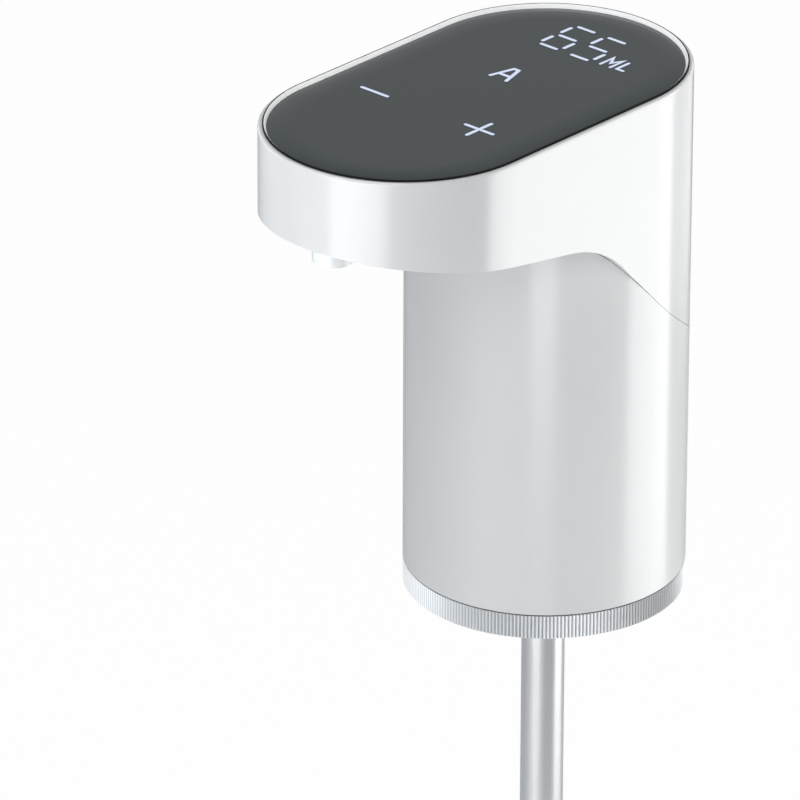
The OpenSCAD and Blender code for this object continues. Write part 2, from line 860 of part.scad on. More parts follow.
// Hose from the pump's delivery port up the front of the column and along the head to the spout
module delivery_hose() {
    color("lightgray") {
        translate([0, hose_start_y, port_z])
            rotate([90, 0, 0])
                tube(nipple_r, hose_r, 0, hose_start_y - hose_y - low_bend_r);
        translate([0, hose_y + low_bend_r, port_z + low_bend_r])
            rotate([0, 90, 0])
                rotate([0, 0, -90])
                    hose_bend(low_bend_r);
        translate([0, hose_y, 0])
            tube(nipple_r, hose_r, port_z + low_bend_r, hose_z - high_bend_r);
        translate([0, hose_y - high_bend_r, hose_z - high_bend_r])
            rotate([0, 90, 0])
                rotate([0, 0, 90])
                    hose_bend(high_bend_r);
        translate([0, hose_y - high_bend_r, hose_z])
            rotate([90, 0, 0])
                tube(nipple_r, hose_r, 0, hose_y - high_bend_r - hose_end_y);
    }
}

module hose_bend(r) {
    rotate_extrude(angle = 90)
        translate([r, 0])
            difference() {
                circle(hose_r);
                circle(nipple_r);
            }
}

// Deck with posts, motor cup, battery cup and the towers for the hood
module inner_frame() {
    color("gainsboro")
        difference() {
            union() {
                rod(deck_r, deck_z, deck_top);
                at_posts()
                    rod(post_r, bulkhead_top, deck_z + eps);
                at_towers()
                    rod(tower_r, deck_top - eps, tower_top);
                translate([-gear_x, pump_y, 0])
                    rod(motor_r + cup_wall, deck_top - eps, deck_top + motor_cup_h);
                translate([battery_x, battery_y, 0])
                    rod(battery_cup_r, battery_z - battery_floor, deck_top);
            }
            translate([-gear_x, pump_y, 0]) {
                rod(motor_r, deck_top, deck_top + motor_cup_h + eps);
                rod(motor_boss_r, deck_z - eps, deck_top + eps);
            }
            translate([battery_x, battery_y, 0])
                rod(battery_r + battery_clear, battery_z, deck_top + eps);
            translate([0, hose_y, 0])
                rod(hose_r + wire_gap, deck_z - eps, deck_top + motor_cup_h + eps);
            translate([charge_x, charge_end_y - charge_l * half, 0])
                rod(wire_r + wire_gap, deck_z - eps, deck_top + eps);
            for (s = [-1, 1])
                translate([s * pump_ear_x, pump_y, 0])
                    rod(screw_r, deck_z - eps, deck_top + eps);
            at_posts()
                rod(screw_r, bulkhead_top - eps, bulkhead_top + bite_l);
            at_towers()
                rod(screw_r, tower_top - bite_l, tower_top + eps);
        }
}

module battery_cell() {
    color("royalblue")
        translate([battery_x, battery_y, 0]) {
            rod(battery_r, battery_z, battery_top - wire_r);
            rod(motor_boss_r, battery_top - wire_r - eps, battery_top);
        }
}

module motor() {
    color("silver")
        translate([-gear_x, pump_y, 0])
            difference() {
                union() {
                    rod(motor_r, deck_top, motor_top);
                    rod(motor_boss_r, deck_z, deck_top + eps);
                    for (s = [-1, 1])
                        translate([s * motor_boss_r - wire_r, -wire_r, motor_top - eps])
                            cube([2 * wire_r, 2 * wire_r, terminal_h + eps]);
                }
                rod(shaft_r + run_clear, deck_z - eps, motor_top - wall_t);
            }
}

module motor_shaft() {
    color("lightsteelblue")
        translate([-gear_x, pump_y, 0])
            rod(shaft_r, chamber_z - shaft_seat + run_clear, motor_top - wall_t - run_clear);
}

module shaft_seal() {
    color("black")
        translate([-gear_x, pump_y, 0])
            tube(shaft_r + run_clear, shaft_seal_r, deck_z - shaft_seal_h, deck_z);
}

// Outline of the pump: both gear circles, their bridge and the two screw ears
module pump_outline() {
    for (s = [-1, 1]) {
        translate([s * gear_x, 0]) circle(pump_r);
        translate([s * pump_ear_x, 0]) circle(pump_ear_r);
    }
    square([2 * gear_x, 2 * pump_r], center = true);
    square([2 * pump_ear_x, 2 * pump_ear_r], center = true);
}

module pump_body() {
    color("slategray")
        translate([0, pump_y, 0])
            difference() {
                union() {
                    translate([0, 0, pump_z])
                        linear_extrude(cover_z - pump_z)
                            pump_outline();
                    translate([0, -pump_y, 0])
                        rod(nipple_r, pump_z - nipple_l, pump_z + eps);
                    translate([0, 0, port_z])
                        rotate([90, 0, 0])
                            rod(nipple_r, pump_r - eps, pump_r + hose_end_gap + pump_nipple_l);
                }
                for (s = [-1, 1]) {
                    translate([s * gear_x, 0, 0]) {
                        rod(chamber_r, chamber_z, cover_z + eps);
                        rod(shaft_r + (s < 0 ? run_clear : 0), chamber_z - shaft_seat, chamber_z + eps);
                    }
                    translate([s * pump_ear_x, 0, 0])
                        rod(screw_r, pump_z - eps, cover_z + eps);
                    translate([0, s * pump_y, 0])
                        rod(nipple_r, chamber_z, cover_z + eps);
                }
                translate([0, -pump_y, 0])
                    rod(nipple_bore_r, pump_z - nipple_l - eps, chamber_z + eps);
                translate([0, 0, port_z])
                    rotate([90, 0, 0])
                        rod(nipple_bore_r, -pump_y, pump_r + hose_end_gap + pump_nipple_l + eps);
            }
}

module pump_cover() {
    color("lightslategray")
        translate([0, pump_y, 0])
            difference() {
                translate([0, 0, cover_z])
                    linear_extrude(pump_cover_t)
                        pump_outline();
                translate([-gear_x, 0, 0]) {
                    rod(shaft_r + run_clear, cover_z - eps, deck_z + eps);
                    rod(shaft_seal_r, deck_z - shaft_seal_h, deck_z + eps);
                }
                translate([gear_x, 0, 0])
                    rod(shaft_r, cover_z - eps, cover_z + shaft_seat);
                for (s = [-1, 1])
                    translate([s * pump_ear_x, 0, 0])
                        rod(screw_r, cover_z - eps, deck_z + eps);
            }
}

// Involute tooth: flank points from the base circle to the tip
base_r = pitch_r * cos(gear_angle);
flank_steps = 6;
function roll(r) = acos(min(1, base_r / r));
function inv_deg(a) = tan(a) * 180 / PI - a;
function half_tooth(r) = 90 / gear_n - tooth_backlash + inv_deg(gear_angle) - inv_deg(roll(r));
function flank_r(i) = base_r + (gear_top_r - base_r) * i / flank_steps;
function polar(r, a) = [r * cos(a), r * sin(a)];
function tooth(a) = concat([polar(gear_root_r, a - half_tooth(base_r))],
    [for (i = [0:flank_steps]) polar(flank_r(i), a - half_tooth(flank_r(i)))],
    [for (i = [flank_steps:-1:0]) polar(flank_r(i), a + half_tooth(flank_r(i)))],
    [polar(gear_root_r, a + half_tooth(base_r))]);

module gear(first, bore) {
    translate([0, 0, chamber_z + run_clear])
        linear_extrude(gear_l - 2 * run_clear)
            difference() {
                polygon([for (i = [0:gear_n - 1], q = tooth(first + 360 * i / gear_n)) q]);
                circle(bore);
            }
}

module drive_gear() {
    color("khaki")
        translate([-gear_x, pump_y, 0])
            gear(0, shaft_r);
}

module driven_gear() {
    color("wheat")
        translate([gear_x, pump_y, 0])
            gear(180 + 180 / gear_n, shaft_r + run_clear);
}

module gear_axle() {
    color("lightsteelblue")
        translate([gear_x, pump_y, 0])
            rod(shaft_r, chamber_z - shaft_seat, cover_z + shaft_seat);
}

module pump_screws() {
    color("silver")
        for (s = [-1, 1])
            translate([s * pump_ear_x, pump_y, 0])
                screw(pump_z, deck_top - wire_gap);
}

module suction_coupling() {
    color("lightgray")
        tube(nipple_r, nipple_r + coupling_wall, bulkhead_top + stem_flange_t + hose_end_gap,
            pump_z - hose_end_gap);
}

// Rigid stem through bulkhead and stopper that carries the intake tube
module tube_stem() {
    color("lightgray")
        difference() {
            union() {
                rod(stem_r, -stem_l, bulkhead_top + eps);
                rod(stem_flange_r, bulkhead_top, bulkhead_top + stem_flange_t);
                rod(nipple_r, bulkhead_top, bulkhead_top + stem_flange_t + nipple_l);
            }
            rod(tube_r, -stem_l - eps, tube_top);
            rod(nipple_bore_r, -stem_l, bulkhead_top + stem_flange_t + nipple_l + eps);
        }
}

// Soft stopper: flange for the bottle's lip, plug and tapered tip
module stopper() {
    color("gray")
        difference() {
            union() {
                rod(socket_r - lip_pad_gap, 0, lip_pad_t);
                rod(stopper_r, -stopper_l, eps);
                translate([0, 0, -stopper_l - stopper_tip])
                    cylinder(r1 = stem_r + wall_t * half, r2 = stopper_r, h = stopper_tip);
            }
            rod(stem_r, -stem_l, lip_pad_t + eps);
            translate([vent_x, 0, 0])
                rod(vent_r, -stem_l, lip_pad_t + eps);
        }
}

// One-way valve that lets air into the bottle
module vent_valve() {
    color("dimgray")
        translate([vent_x, 0, bulkhead_top])
            difference() {
                cylinder(r = valve_r, h = valve_h);
                rod(vent_r, -eps, valve_h * half);
                translate([-vent_r, -tape_t * half, 0]) cube([2 * vent_r, tape_t, valve_h + eps]);
            }
}

module intake_tube() {
    color("silver")
        tube(tube_r - tube_wall, tube_r, tube_end, tube_top);
}

// Cap on the tube's end that guides the inner tube
module tube_gland() {
    color("dimgray")
        difference() {
            rod(gland_r, gland_z, gland_z + gland_l);
            rod(tube_r, gland_seal_z, gland_z + gland_l + eps);
            rod(slide_r + tube_clear, gland_z - eps, tube_end);
        }
}

module gland_seal() {
    color("black")
        tube(slide_r + run_clear, tube_r, gland_seal_z, tube_end);
}

module inner_tube() {
    color("lightsteelblue")
        tube(slide_r - tube_wall, slide_r, strainer_z + strainer_l * half, inner_top);
}

// Notched foot on the inner tube
module tube_strainer() {
    color("dimgray")
        difference() {
            rod(tube_r, strainer_z, strainer_top);
            rod(slide_r, strainer_z + strainer_l * half, strainer_top + eps);
            rod(slide_r - tube_wall, strainer_z - eps, strainer_top);
            for (i = [0:notch_n - 1])
                rotate([0, 0, 180 * i / notch_n])
                    translate([-far * half, -notch_w * half, strainer_z - eps])
                        cube([far, notch_w, notch_w + eps]);
        }
}

// Socket for the bottle's neck with a flange under the bulkhead and tabs for the ring's lugs
module base_socket() {
    color("lightgray")
        difference() {
            union() {
                rod(socket_out_r, socket_z, bulkhead_z);
                rod(inner_r - ring_gap, -head_h, bulkhead_z);
                for (i = [0:lug_n - 1]) {
                    arc_block(socket_out_r - wall_t * half, socket_out_r + lug_w, tab_z, tab_z + lug_h,
                        lug_mid(i), lug_a);
                    arc_block(socket_out_r - wall_t * half, socket_out_r + lug_w, tab_z, lug_top,
                        lug_mid(i) - lug_a * half - stop_gap - stop_a * half, stop_a);
                }
            }
            rod(socket_r, socket_z - eps, bulkhead_z + eps);
            rod(socket_r + groove_d, neck_seal_z, neck_seal_z + neck_seal_h);
            at_posts() {
                rod(screw_r, -eps, bulkhead_z + eps);
                rod(head_r + panel_gap, -head_h - eps, 0);
            }
        }
}

module neck_seal() {
    color("gray")
        tube(neck_seal_r, socket_r + groove_d, neck_seal_z, neck_seal_z + neck_seal_h);
}

function knurl_point(i) = polar(column_r - (i % 2) * knurl_d, 180 * i / knurl_n);

// Twist ring: knurled rim, bottom plate and a sleeve with lugs over the socket's tabs
module knurled_ring() {
    color("silver") {
        difference() {
            translate([0, 0, ring_z])
                linear_extrude(ring_h)
                    polygon([for (i = [0:2 * knurl_n - 1]) knurl_point(i)]);
            rod(inner_r, ring_z + ring_plate_t, ring_top + eps);
            rod(socket_out_r + ring_clear, ring_z - eps, ring_top);
        }
        tube(sleeve_r, sleeve_r + sleeve_wall, ring_z + wall_t, lug_top + ring_gap);
        for (i = [0:lug_n - 1])
            arc_block(socket_out_r + ring_clear, sleeve_r + sleeve_wall * half, lug_z, lug_top,
                lug_mid(i), lug_a);
    }
}

module charge_board() {
    color("darkgreen")
        translate([-charge_w * half, charge_end_y - charge_l, charge_z])
            cube([charge_w, charge_l, charge_t]);
}

module usb_port() {
    color("silver")
        translate([0, usb_end_y, usb_z + usb_h * half])
            rotate([90, 0, 0]) {
                linear_extrude(usb_l)
                    difference() {
                        slot_outline(usb_w, usb_h);
                        slot_outline(usb_w - 2 * usb_wall, usb_h - 2 * usb_wall);
                    }
                translate([0, 0, usb_l - wall_t])
                    linear_extrude(wall_t)
                        slot_outline(usb_w - usb_wall, usb_h - usb_wall);
                translate([0, 0, usb_recess])
                    linear_extrude(usb_l - usb_recess)
                        square([usb_w - usb_h + usb_wall, tongue_t], center = true);
            }
}

// Leads from motor, battery and charge board up to the control board
module wire_leads() {
    color("firebrick") {
        for (s = [-1, 1]) {
            translate([-gear_x + s * motor_boss_r, pump_y, 0])
                rod(wire_r, motor_top + terminal_h, board_z);
            translate([battery_x + s * wall_t * half, battery_y, 0])
                rod(wire_r, battery_top, board_z);
        }
        translate([charge_x, charge_end_y - charge_l * half, 0])
            rod(wire_r, charge_z + charge_t, board_z);
    }
}

module frame_screws() {
    color("silver")
        at_posts()
            screw(0, bulkhead_top + bite_l - wall_t);
}

module hood_screws() {
    color("silver")
        at_towers()
            screw(tower_top + ear_t, tower_top - bite_l + wall_t);
}

hood();
column_shell();
touch_panel();
panel_tape();
control_board();
digit_frame();
display_leds();
touch_pads();
board_screws();
spout_nozzle();
spout_seal();
aerator_insert();
spout_screws();
delivery_hose();
inner_frame();
battery_cell();
motor();
motor_shaft();
shaft_seal();
pump_body();
pump_cover();
drive_gear();
driven_gear();
gear_axle();
pump_screws();
suction_coupling();
tube_stem();
stopper();
vent_valve();
intake_tube();
tube_gland();
gland_seal();
inner_tube();
tube_strainer();
base_socket();
neck_seal();
knurled_ring();
charge_board();
usb_port();
wire_leads();
frame_screws();
hood_screws();
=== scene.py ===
import math

import bmesh
import bpy
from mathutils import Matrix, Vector


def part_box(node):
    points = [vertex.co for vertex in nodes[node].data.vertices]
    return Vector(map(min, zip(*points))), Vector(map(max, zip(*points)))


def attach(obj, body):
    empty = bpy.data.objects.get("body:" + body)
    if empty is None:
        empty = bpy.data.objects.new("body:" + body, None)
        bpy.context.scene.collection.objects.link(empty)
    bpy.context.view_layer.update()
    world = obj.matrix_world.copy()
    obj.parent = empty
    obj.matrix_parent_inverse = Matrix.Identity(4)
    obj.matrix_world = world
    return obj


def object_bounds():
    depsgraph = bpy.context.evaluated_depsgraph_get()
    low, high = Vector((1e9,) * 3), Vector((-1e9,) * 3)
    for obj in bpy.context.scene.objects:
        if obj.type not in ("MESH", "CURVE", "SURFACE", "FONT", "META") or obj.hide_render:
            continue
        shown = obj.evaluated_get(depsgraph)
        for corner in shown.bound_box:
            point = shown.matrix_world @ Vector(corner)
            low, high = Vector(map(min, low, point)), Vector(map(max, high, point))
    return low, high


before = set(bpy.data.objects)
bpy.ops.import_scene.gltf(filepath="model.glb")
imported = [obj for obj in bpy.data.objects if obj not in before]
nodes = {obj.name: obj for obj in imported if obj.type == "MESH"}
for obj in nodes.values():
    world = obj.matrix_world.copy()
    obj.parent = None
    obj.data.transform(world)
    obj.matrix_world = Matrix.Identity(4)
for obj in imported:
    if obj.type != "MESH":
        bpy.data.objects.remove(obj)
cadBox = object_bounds()
mm = 0.001
noiseMean = 0.5
print("frame loaded:", len(nodes), "nodes")


# shader maths: a Wire is an output socket, and an expression on wires adds Math nodes
class Wire:
    def __init__(self, paint, socket):
        self.paint = paint
        self.socket = socket

    def maths(self, operation, first, second):
        return self.paint.add("ShaderNodeMath", {"operation": operation}, {0: first, 1: second})

    def __add__(self, other):
        return self.maths("ADD", self, other)

    def __radd__(self, other):
        return self.maths("ADD", other, self)

    def __sub__(self, other):
        return self.maths("SUBTRACT", self, other)

    def __rsub__(self, other):
        return self.maths("SUBTRACT", other, self)

    def __mul__(self, other):
        return self.maths("MULTIPLY", self, other)

    def __rmul__(self, other):
        return self.maths("MULTIPLY", other, self)

    def __gt__(self, other):
        return self.maths("GREATER_THAN", self, other)

    # a noise made to swing both ways about nothing
    def swing(self, amount):
        return amount * (self - noiseMean)


# one material, or the world: its nodes, the shader in its middle and its output
class Paint:
    def __init__(self, name, world=False, **constants):
        self.block = (bpy.data.worlds if world else bpy.data.materials).new(name)
        self.block.use_nodes = True
        self.tree = self.block.node_tree
        self.tree.nodes.clear()
        self.end = self.tree.nodes.new("ShaderNodeOutputWorld" if world else "ShaderNodeOutputMaterial")
        self.body = self.add("ShaderNodeBackground" if world else "ShaderNodeBsdfPrincipled")
        self.show(self.body)
        self.set(**constants)

    def show(self, wire):
        self.feed(self.end.inputs["Surface"], wire)

    # any node: its type, its settings, then the values or links of its sockets
    def add(self, kind, settings=None, sockets=None, out=0):
        node = self.tree.nodes.new(kind)
        for key, value in (settings or {}).items():
            setattr(node, key, value)
        for key, value in (sockets or {}).items():
            self.feed(node.inputs[key], value)
        return Wire(self, node.outputs[out])

    def feed(self, socket, value):
        if isinstance(value, Wire):
            self.tree.links.new(value.socket, socket)
        elif socket.type == "RGBA":
            socket.default_value = (*value, 1)
        else:
            socket.default_value = value

    def set(self, **sockets):
        for key, value in sockets.items():
            self.feed(self.body.socket.node.inputs[key.replace("_", " ")], value)

    def place(self, stretch=(1, 1, 1)):
        spot = self.add("ShaderNodeTexCoord", out="Object")
        return self.add("ShaderNodeMapping", {}, {"Vector": spot, "Scale": stretch})

    def noise(self, scale, stretch=(1, 1, 1), detail=3):
        place = self.place(stretch)
        return self.add("ShaderNodeTexNoise", {}, {"Vector": place, "Scale": scale, "Detail": detail})

    # a Mix node has sockets for each type: both ends are 6 and 7 for colours, 2 and 3 for numbers
    def mix(self, factor, low, high):
        return self.add("ShaderNodeMix", {"data_type": "RGBA"}, {0: factor, 6: low, 7: high}, out=2)

    def level(self, factor, low, high):
        return self.add("ShaderNodeMix", {"data_type": "FLOAT"}, {0: factor, 2: low, 3: high})

    def bump(self, height, strength, depth):
        return self.add("ShaderNodeBump", {}, {"Height": height, "Strength": strength, "Distance": depth})


# moulded plastic: slow tone drift, uneven gloss and a faint skin
plasticLook = {"drift": 45, "driftDetail": 4, "coatRough": 0.2, "skinDepth": 0.02}


def plastic(name, low, high, rough, skin, coat=0.0, grain=700, uneven=0.06):
    paint = Paint(name, Coat_Roughness=plasticLook["coatRough"])
    drift = paint.noise(plasticLook["drift"], detail=plasticLook["driftDetail"])
    paint.set(Base_Color=paint.mix(drift, low, high), Roughness=rough + drift.swing(uneven))
    paint.set(Coat_Weight=coat, Normal=paint.bump(paint.noise(grain), skin, plasticLook["skinDepth"] * mm))
    return paint.block


# drawn or turned metal: streaks along one direction
metalLook = {"streak": 900, "streakDetail": 5, "cloud": 60, "uneven": 0.14, "skin": 0.08, "skinDepth": 0.01}


def metal(name, low, high, rough, stretch):
    paint = Paint(name, Metallic=1.0)
    uneven = metalLook["uneven"]
    streak = paint.noise(metalLook["streak"], stretch, metalLook["streakDetail"])
    cloud = paint.noise(metalLook["cloud"])
    paint.set(Base_Color=paint.mix(streak, low, high))
    paint.set(Roughness=rough + streak.swing(uneven) + cloud.swing(uneven))
    paint.set(Normal=paint.bump(streak, metalLook["skin"], metalLook["skinDepth"] * mm))
    return paint.block


# knurled silver: painted highlight on the ridges and painted shade in the grooves, told apart by the distance
# from the axis, with lathe marks
knurlLook = {
    "metallic": 0.4,
    "wearAndHighlight": 400,
    "ridgeLightLow": 0.8,
    "ridgeLightSpan": 0.4,
    "wearRough": 0.04,
    "lathe": 9000,
    "latheRough": 0.16,
}


def knurlPaint(name, grooveShade, ridgeHighlight, rough, inner, outer):
    paint = Paint(name, Metallic=knurlLook["metallic"])
    spot = paint.add("ShaderNodeVectorMath", {"operation": "MULTIPLY"}, {0: paint.place(), 1: (1, 1, 0)})
    away = paint.add("ShaderNodeVectorMath", {"operation": "LENGTH"}, {0: spot}, out="Value")
    rise = paint.add("ShaderNodeMapRange", {}, {"Value": away, "From Min": inner, "From Max": outer})
    wearAndHighlight = paint.noise(knurlLook["wearAndHighlight"])
    marks = {"W": away, "Scale": knurlLook["lathe"]}
    lathe = paint.add("ShaderNodeTexNoise", {"noise_dimensions": "1D"}, marks)
    # the ridges' painted highlight, its strength spread at random by the wear noise, which also varies the
    # roughness
    ridgeLight = rise * rise * (knurlLook["ridgeLightLow"] + knurlLook["ridgeLightSpan"] * wearAndHighlight)
    paint.set(Base_Color=paint.mix(ridgeLight, grooveShade, ridgeHighlight))
    paint.set(Roughness=rough + lathe.swing(knurlLook["latheRough"]) + wearAndHighlight.swing(knurlLook["wearRough"]))
    return paint.block


# rubber and silicone: matt, cloudy, with a dusty bloom
rubberLook = {
    "cloud": 120,
    "cloudDetail": 5,
    "uneven": 0.15,
    "sheenRough": 0.5,
    "grain": 1500,
    "grainDetail": 2,
    "skin": 0.15,
    "skinDepth": 0.03,
}


def rubber(name, low, high, rough, sheen, gloss=0.5):
    paint = Paint(name, Specular_IOR_Level=gloss)
    paint.set(Sheen_Weight=sheen, Sheen_Roughness=rubberLook["sheenRough"])
    cloud = paint.noise(rubberLook["cloud"], detail=rubberLook["cloudDetail"])
    paint.set(Base_Color=paint.mix(cloud, low, high), Roughness=rough + cloud.swing(rubberLook["uneven"]))
    grain = paint.noise(rubberLook["grain"], detail=rubberLook["grainDetail"])
    paint.set(Normal=paint.bump(grain, rubberLook["skin"], rubberLook["skinDepth"] * mm))
    return paint.block


# circuit board: solder mask over a grid of tracks, with copper dots
boardLook = {
    "coat": 0.3,
    "coatRough": 0.12,
    "grid": 260,
    "gridOffset": 0.35,
    "trackWidth": 0.06,
    "dots": 420,
    "dotSize": 0.12,
    "rough": 0.3,
    "roughSpan": 0.2,
    "cloud": 90,
}


def boardPaint(name, mask, track, copper):
    paint = Paint(name, Coat_Weight=boardLook["coat"], Coat_Roughness=boardLook["coatRough"])
    cells = paint.add("ShaderNodeTexBrick", {"offset": boardLook["gridOffset"]}, {
        "Vector": paint.place(), "Color1": mask, "Color2": mask, "Mortar": track,
        "Scale": boardLook["grid"], "Mortar Size": boardLook["trackWidth"]})
    dots = paint.add("ShaderNodeTexVoronoi", {}, {"Vector": paint.place(), "Scale": boardLook["dots"]})
    paint.set(Base_Color=paint.mix(dots > boardLook["dotSize"], copper, cells))
    paint.set(Roughness=boardLook["rough"] + boardLook["roughSpan"] * paint.noise(boardLook["cloud"]))
    return paint.block


# smoked panel: nearly black, mirror smooth, with faint wiping marks in the gloss
panelLook = {
    "ior": 1.5,
    "tint": (0.7, 0.98, 1.0),
    "wipe": 35,
    "along": (1, 4, 1),
    "wipeDetail": 6,
    "uneven": 0.05,
}


def panelPaint(name, low, high, rough):
    paint = Paint(name, IOR=panelLook["ior"], Specular_Tint=panelLook["tint"])
    wipe = paint.noise(panelLook["wipe"], panelLook["along"], panelLook["wipeDetail"])
    paint.set(Base_Color=paint.mix(wipe, low, high), Roughness=rough + wipe.swing(panelLook["uneven"]))
    return paint.block


# lit legend: pale blue light, a little uneven as behind a diffuser
glowLook = {"rough": 0.5, "grain": 900, "unlitLow": (0.05, 0.05, 0.06), "unlitHigh": (0.08, 0.08, 0.09)}


def glowPaint(name, low, high, strength):
    paint = Paint(name, Roughness=glowLook["rough"], Emission_Strength=strength)
    glow = paint.noise(glowLook["grain"])
    paint.set(Base_Color=paint.mix(glow, glowLook["unlitLow"], glowLook["unlitHigh"]))
    paint.set(Emission_Color=paint.mix(glow, low, high))
    return paint.block


shellWhite = plastic("shell_white", (0.61, 0.62, 0.625), (0.65, 0.655, 0.66),
                     rough=0.24, skin=0.03, coat=1.0, grain=260, uneven=0.05)
panelSmoke = panelPaint("panel_smoke", (0.0105, 0.0135, 0.014), (0.0135, 0.0175, 0.018), rough=0.1)
# the ring's groove colour is painted shade, its ridge colour a painted highlight
ringSilver = knurlPaint("ring_silver", (0.40, 0.42, 0.44), (0.84, 0.85, 0.86),
                        rough=0.42, inner=25.72 * mm, outer=26.0 * mm)
stainless = metal("stainless", (0.52, 0.53, 0.54), (0.64, 0.65, 0.66), rough=0.24, stretch=(2, 2, 0.03))
silicone = rubber("silicone", (0.42, 0.43, 0.44), (0.52, 0.53, 0.54), rough=0.5, sheen=0.15)
# white of the lip round the panel: painted highlight, standing for the light on the panel's rounded edge
sealWhiteHighlight = rubber("seal_white_highlight", (0.92, 0.925, 0.93), (0.95, 0.955, 0.96), rough=0.4, sheen=0.0)
# matt black outer face of that lip: painted shadow of the gap between panel and rim
gapShadowBlack = rubber("gap_shadow_black", (0.006, 0.006, 0.007), (0.012, 0.012, 0.013),
                   rough=0.6, sheen=0.0, gloss=0.05)
sealBlack = rubber("seal_black", (0.012, 0.012, 0.013), (0.03, 0.03, 0.031), rough=0.55, sheen=0.2)
boardGreen = boardPaint("board_green", (0.01, 0.07, 0.03), (0.02, 0.13, 0.06), (0.55, 0.36, 0.12))
innerPlastic = plastic("inner_plastic", (0.58, 0.58, 0.56), (0.64, 0.64, 0.62), rough=0.5, skin=0.12)
darkPlastic = plastic("dark_plastic", (0.022, 0.023, 0.025), (0.035, 0.036, 0.038), rough=0.42, skin=0.12)
spoutPlastic = plastic("spout_plastic", (0.74, 0.76, 0.77), (0.80, 0.82, 0.83),
                       rough=0.16, skin=0.02, coat=0.3)
cellSleeve = plastic("cell_sleeve", (0.02, 0.10, 0.30), (0.03, 0.14, 0.38), rough=0.25, skin=0.05, coat=0.2)
platedSteel = metal("plated_steel", (0.55, 0.55, 0.54), (0.68, 0.68, 0.67), rough=0.28, stretch=(1, 1, 1))
pumpGrey = plastic("pump_grey", (0.16, 0.17, 0.18), (0.21, 0.22, 0.23), rough=0.45, skin=0.15)
gearPlastic = plastic("gear_plastic", (0.66, 0.62, 0.52), (0.72, 0.68, 0.58), rough=0.35, skin=0.05)
ledChip = plastic("led_chip", (0.75, 0.70, 0.35), (0.82, 0.78, 0.45), rough=0.4, skin=0.05)
wireRed = plastic("wire_red", (0.40, 0.02, 0.02), (0.50, 0.03, 0.03), rough=0.4, skin=0.1)
legendGlow = glowPaint("legend_glow", (0.66, 0.78, 1.0), (0.78, 0.87, 1.0), strength=0.8)
# dark blue band round each lit stroke: painted glow, the legend's light spread onto the panel
legendGlowSpill = plastic("legend_halo", (0.008, 0.014, 0.04), (0.012, 0.02, 0.055), rough=0.45, skin=0.0)

finishes = {
    shellWhite: ["hood", "column_shell"],
    panelSmoke: ["touch_panel"],
    ringSilver: ["knurled_ring"],
    stainless: ["intake_tube", "inner_tube", "motor_shaft", "gear_axle"],
    silicone: ["stopper", "neck_seal", "spout_seal", "delivery_hose", "suction_coupling", "vent_valve"],
    sealBlack: ["panel_tape", "shaft_seal", "gland_seal"],
    boardGreen: ["control_board", "charge_board"],
    innerPlastic: ["inner_frame", "digit_frame", "base_socket", "tube_stem"],
    darkPlastic: ["tube_gland", "tube_strainer", "touch_pads"],
    spoutPlastic: ["spout_nozzle"],
    cellSleeve: ["battery_cell"],
    platedSteel: ["usb_port", "motor", "aerator_insert", "board_screws", "spout_screws", "pump_screws",
                  "frame_screws", "hood_screws"],
    pumpGrey: ["pump_body", "pump_cover"],
    gearPlastic: ["drive_gear", "driven_gear"],
    ledChip: ["display_leds"],
    wireRed: ["wire_leads"],
}
for finish, names in finishes.items():
    for name in names:
        for place in nodes[name].material_slots:
            place.material = finish
print("finishes set on", sum(len(names) for names in finishes.values()), "nodes")


def addPiece(name, mesh, finish, body):
    piece = bpy.data.objects.new(name, mesh)
    bpy.context.scene.collection.objects.link(piece)
    mesh.materials.append(finish)
    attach(piece, body)


# lip in the groove between the panel's rounded edge and the rim: white towards the panel, a painted highlight
# for the light on the panel's edge, and black outside, a painted shadow of the gap.
# each point of its section is in millimetres outwards from the panel's edge, then down from its top
panelSeal = {
    "white": [(-0.6, 0.43), (-0.42, 0.04), (-0.24, -0.27), (-0.14, -0.35)],
    "black": [(-0.07, -0.38), (0.05, -0.38), (0.11, -0.32), (0.11, 0.72), (0.02, 0.72), (-0.09, 0.64),
              (-0.2, 0.58), (-0.4, 0.51)],
    "steps": 64,  # round each end of the panel
    "crease": 35,  # degrees
}


def makePanelSeal():
    low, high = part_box("touch_panel")
    radius = (high.x - low.x) / 2
    steps = panelSeal["steps"]
    ends = ((high.y - radius, 0), (low.y + radius, math.pi))
    turns = [(y, start + math.pi * k / steps) for y, start in ends for k in range(steps + 1)]
    section = panelSeal["white"] + panelSeal["black"]
    shape = bmesh.new()
    loops = []
    for y, turn in turns:
        spots = [(radius + out * mm, high.z - down * mm) for out, down in section]
        loops.append([shape.verts.new((r * math.cos(turn), y + r * math.sin(turn), z)) for r, z in spots])
    for k, loop in enumerate(loops):
        following = loops[(k + 1) % len(loops)]
        for i in range(len(section)):
            j = (i + 1) % len(section)
            face = shape.faces.new((loop[i], loop[j], following[j], following[i]))
            face.smooth = True
            # white faces carry the painted highlight, the others the painted shadow of the gap
            face.material_index = int(i >= len(panelSeal["white"]) - 1)
    bmesh.ops.recalc_face_normals(shape, faces=shape.faces)
    mesh = bpy.data.meshes.new("panel_seal")
    shape.to_mesh(mesh)
    shape.free()
    mesh.set_sharp_from_angle(angle=math.radians(panelSeal["crease"]))
    addPiece("panel_seal", mesh, sealWhiteHighlight, "housing")
    mesh.materials.append(gapShadowBlack)
    print("panel seal:", len(mesh.polygons), "faces")


makePanelSeal()

